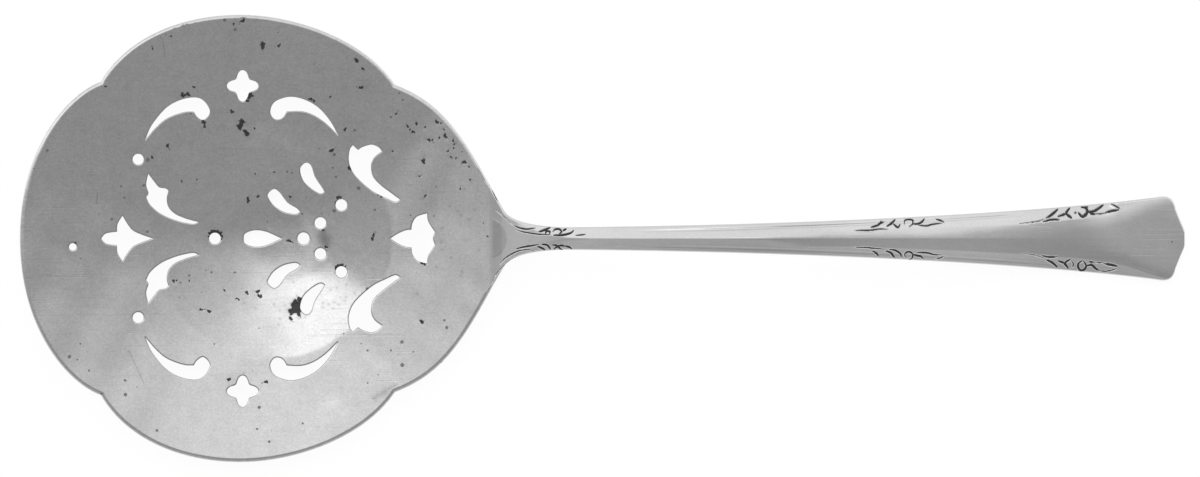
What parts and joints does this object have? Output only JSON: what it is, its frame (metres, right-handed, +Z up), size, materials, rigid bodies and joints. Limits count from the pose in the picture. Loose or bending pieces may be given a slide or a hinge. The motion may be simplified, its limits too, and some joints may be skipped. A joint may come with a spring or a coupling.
{
  "type": "bonbon spoon",
  "caption": "Round, flat, pierced bonbon spoon with a lobed rim, a shallow well and a long arched handle that widens to a squared end.",
  "frame": {"origin": "middle of the spoon's length, on its mid-plane and on the surface that it lies on", "axes": "+X towards the end of the handle, +Z up, out of the bowl's open side"},
  "size_m": [0.2, 0.0768, 0.0167],
  "materials": {
    "bowl_silver": "polished silver, finely scratched, softly clouded and pitted",
    "handle_silver": "polished silver, with darkened engraving",
    "solder": "dressed silver solder, slightly greyer than the plate"
  },
  "bodies": {
    "root": {"pierced_bowl": "bowl_silver", "handle": "handle_silver", "solder_seam": "solder"}
  },
  "joints": []
}
